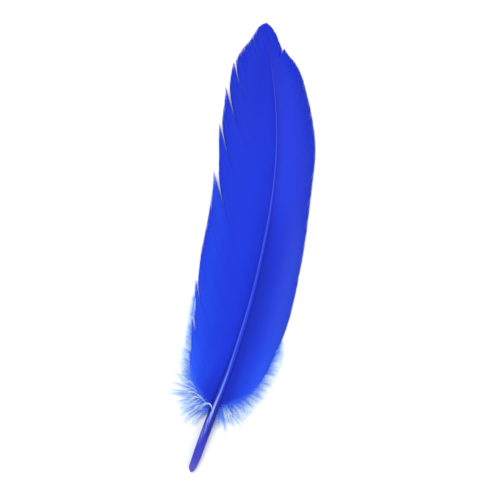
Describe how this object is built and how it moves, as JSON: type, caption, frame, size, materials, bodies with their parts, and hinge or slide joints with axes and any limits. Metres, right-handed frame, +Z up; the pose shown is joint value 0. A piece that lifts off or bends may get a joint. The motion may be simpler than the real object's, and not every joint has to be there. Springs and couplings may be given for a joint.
{
  "type": "goose quill feather",
  "caption": "Dyed wing feather lying flat: bare hollow quill, curved tapering shaft, a wide and a narrow vane with a few open splits, and soft down round the vanes' foot.",
  "frame": {"origin": "centre of the box round the feather, at the height of the surface that it lies on", "axes": "+Y from the quill's end to the vane's tip, +X across to the narrow vane's side, +Z up out of the feather's upper side"},
  "size_m": [0.0439, 0.1744, 0.0079],
  "materials": {
    "royal_blue_barbs": "satin dyed barbs"
  },
  "bodies": {
    "root": {"feather": "royal_blue_barbs"}
  },
  "joints": []
}
